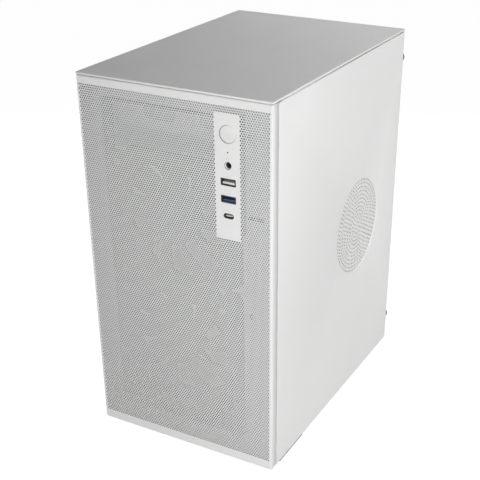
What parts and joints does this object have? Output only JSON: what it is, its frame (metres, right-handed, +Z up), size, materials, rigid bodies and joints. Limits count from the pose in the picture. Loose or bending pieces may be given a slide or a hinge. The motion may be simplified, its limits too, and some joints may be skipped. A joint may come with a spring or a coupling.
{
  "type": "desktop computer tower",
  "caption": "Compact white steel desktop computer tower with a perforated front panel, front sockets, round side vents and its working parts inside.",
  "frame": {"origin": "on the floor, in the middle of the whole outline", "axes": "+Z up, the front faces -Y, +X is to the right of someone facing the front"},
  "size_m": [0.1906, 0.2904, 0.367],
  "materials": {
    "white_paint": "fine satin powder coat",
    "black_paint": "fine satin powder coat",
    "black_oxide_steel": "blackened, satin",
    "foot_rubber": "dull moulded",
    "black_plastic": "fine moulded grain",
    "white_plastic": "smooth satin",
    "blue_plastic": "smooth satin",
    "clear_plastic": "polished light pipe",
    "board_lacquer": "solder lacquer over copper tracks",
    "memory_cover": "satin anodised",
    "plated_steel": "bright plated",
    "nickel_copper": "nickel plated lid on a plastic frame",
    "aluminium": "extruded or cast, satin",
    "cable_sleeve": "braided sleeve"
  },
  "bodies": {
    "case": {"top_cover": "white_paint", "base_pan": "white_paint", "top_frame": "white_paint", "chassis_front": "white_paint", "chassis_rear": "white_paint", "slot_access_plate": "white_paint", "motherboard_tray": "white_paint", "drive_cage": "white_paint", "psu_case": "black_paint", "fan_bracket": "black_paint", "foot_front_left": "foot_rubber", "foot_front_right": "foot_rubber", "foot_rear_left": "foot_rubber", "foot_rear_right": "foot_rubber", "io_bracket": "black_plastic", "power_switch": "black_plastic", "audio_jack": "black_plastic", "usb2_port": "black_plastic", "rear_audio_jacks": "black_plastic", "front_fan_lower_frame": "black_plastic", "front_fan_upper_frame": "black_plastic", "rear_fan_frame": "black_plastic", "cooler_fan_frame": "black_plastic", "psu_fan_frame": "black_plastic", "memory_slot_1": "black_plastic", "memory_slot_2": "black_plastic", "graphics_slot": "black_plastic", "psu_inlet": "black_plastic", "usb3_port": "blue_plastic", "power_led": "clear_plastic", "motherboard": "board_lacquer", "io_board": "board_lacquer", "memory_module_1": "memory_cover", "memory_module_2": "memory_cover", "usbc_port": "plated_steel", "io_shield": "plated_steel", "rear_usb_ports": "plated_steel", "rear_video_ports": "plated_steel", "psu_fan_guard": "plated_steel", "processor": "nickel_copper", "cooler_heatsink": "aluminium", "chipset_heatsink": "aluminium", "hard_drive": "aluminium", "main_power_cable": "cable_sleeve", "processor_power_cable": "cable_sleeve", "front_panel_cable": "cable_sleeve"},
    "front_cover": {"front_panel": "white_paint"},
    "right_cover": {"right_side_panel": "white_paint"},
    "left_cover": {"left_side_panel": "white_paint"},
    "screw_right_lower": {"thumbscrew_right_lower": "black_oxide_steel"},
    "screw_right_upper": {"thumbscrew_right_upper": "black_oxide_steel"},
    "screw_left_lower": {"thumbscrew_left_lower": "black_oxide_steel"},
    "screw_left_upper": {"thumbscrew_left_upper": "black_oxide_steel"},
    "button": {"power_button": "white_plastic"},
    "front_lower_impeller": {"front_fan_lower_rotor": "black_plastic"},
    "front_upper_impeller": {"front_fan_upper_rotor": "black_plastic"},
    "rear_impeller": {"rear_fan_rotor": "black_plastic"},
    "cooler_impeller": {"cooler_fan_rotor": "black_plastic"},
    "supply_impeller": {"psu_fan_rotor": "black_plastic"},
    "supply_rocker": {"psu_switch": "black_plastic"}
  },
  "joints": [
    {"name": "front_cover_pull", "type": "slide", "parent": "case", "child": "front_cover", "axis": [0, -1, 0], "range_m": [0, 0.02]},
    {"name": "right_cover_slide", "type": "slide", "parent": "case", "child": "right_cover", "axis": [0, 1, 0], "range_m": [0, 0.28]},
    {"name": "left_cover_slide", "type": "slide", "parent": "case", "child": "left_cover", "axis": [0, 1, 0], "range_m": [0, 0.28]},
    {"name": "screw_left_lower_turn", "type": "hinge", "parent": "left_cover", "child": "screw_left_lower", "pos_m": [-0.0883, 0.13905, 0.04], "axis": [0, 1, 0], "continuous": true},
    {"name": "screw_left_upper_turn", "type": "hinge", "parent": "left_cover", "child": "screw_left_upper", "pos_m": [-0.0883, 0.13905, 0.337], "axis": [0, 1, 0], "continuous": true},
    {"name": "screw_right_lower_turn", "type": "hinge", "parent": "right_cover", "child": "screw_right_lower", "pos_m": [0.0883, 0.13905, 0.04], "axis": [0, 1, 0], "continuous": true},
    {"name": "screw_right_upper_turn", "type": "hinge", "parent": "right_cover", "child": "screw_right_upper", "pos_m": [0.0883, 0.13905, 0.337], "axis": [0, 1, 0], "continuous": true},
    {"name": "button_press", "type": "slide", "parent": "case", "child": "button", "axis": [0, 1, 0], "range_m": [0, 0.0015], "stiffness_N_per_m": 1300},
    {"name": "front_lower_spin", "type": "hinge", "parent": "case", "child": "front_lower_impeller", "pos_m": [-0.014, -0.10735, 0.11], "axis": [0, -1, 0], "continuous": true},
    {"name": "front_upper_spin", "type": "hinge", "parent": "case", "child": "front_upper_impeller", "pos_m": [-0.014, -0.10735, 0.235], "axis": [0, -1, 0], "continuous": true},
    {"name": "rear_spin", "type": "hinge", "parent": "case", "child": "rear_impeller", "pos_m": [-0.038, 0.13635, 0.212], "axis": [0, -1, 0], "continuous": true},
    {"name": "cooler_spin", "type": "hinge", "parent": "case", "child": "cooler_impeller", "pos_m": [0.02, 0.03975, 0.1915], "axis": [-1, 0, 0], "continuous": true},
    {"name": "supply_spin", "type": "hinge", "parent": "case", "child": "supply_impeller", "pos_m": [-0.0033, 0.06535, 0.2989], "axis": [0, 0, -1], "continuous": true},
    {"name": "supply_rocker_tilt", "type": "hinge", "parent": "case", "child": "supply_rocker", "pos_m": [0.0437, 0.13435, 0.3076], "axis": [1, 0, 0], "range_deg": [-16, 0]}
  ]
}
